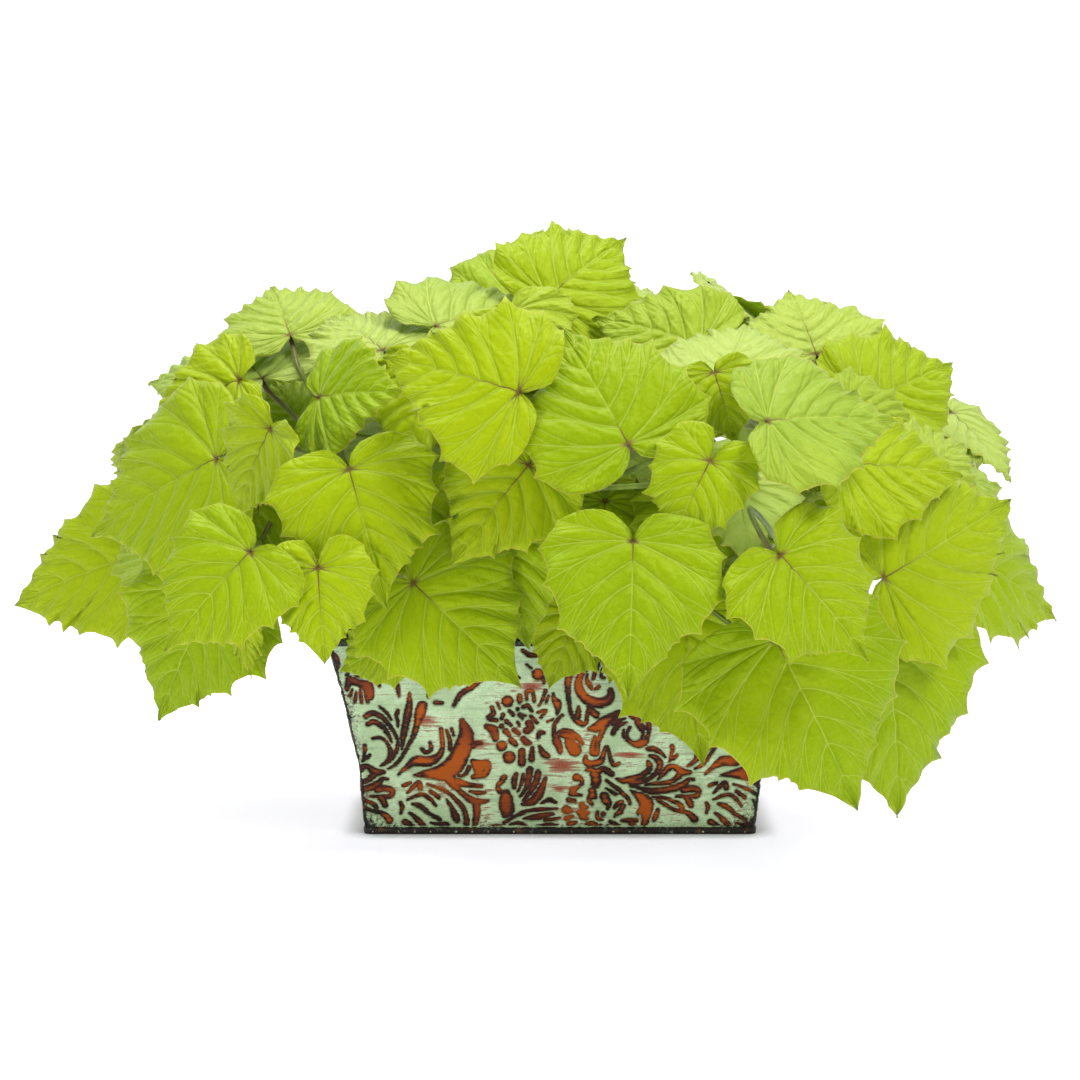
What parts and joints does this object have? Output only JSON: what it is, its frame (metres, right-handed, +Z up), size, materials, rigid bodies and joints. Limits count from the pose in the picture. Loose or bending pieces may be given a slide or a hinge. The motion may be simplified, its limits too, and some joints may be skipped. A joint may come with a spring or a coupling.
{
  "type": "sweet potato vine",
  "caption": "Bushy trailing vine with lobed, pointed, lime-green leaves on slender stalks, growing from soil in a flared rectangular embossed tin planter that stands on its flat base.",
  "frame": {"origin": "centre of the planter's flat underside, on the surface it stands on", "axes": "+X along the planter's long side to the right as seen from the front, -Y towards the front with the fullest leaves, +Z up"},
  "size_m": [0.7434, 0.5419, 0.4243],
  "materials": {
    "tin": "matte",
    "soil": "matte",
    "leaf": "satin"
  },
  "bodies": {
    "root": {"tin_planter": "tin", "potting_soil": "soil", "vine_1": "leaf", "vine_2": "leaf", "vine_3": "leaf", "vine_4": "leaf", "vine_5": "leaf", "vine_6": "leaf", "vine_7": "leaf", "vine_8": "leaf", "vine_9": "leaf", "vine_10": "leaf", "vine_11": "leaf", "vine_12": "leaf", "vine_13": "leaf", "vine_14": "leaf", "vine_15": "leaf", "vine_16": "leaf"}
  },
  "joints": []
}
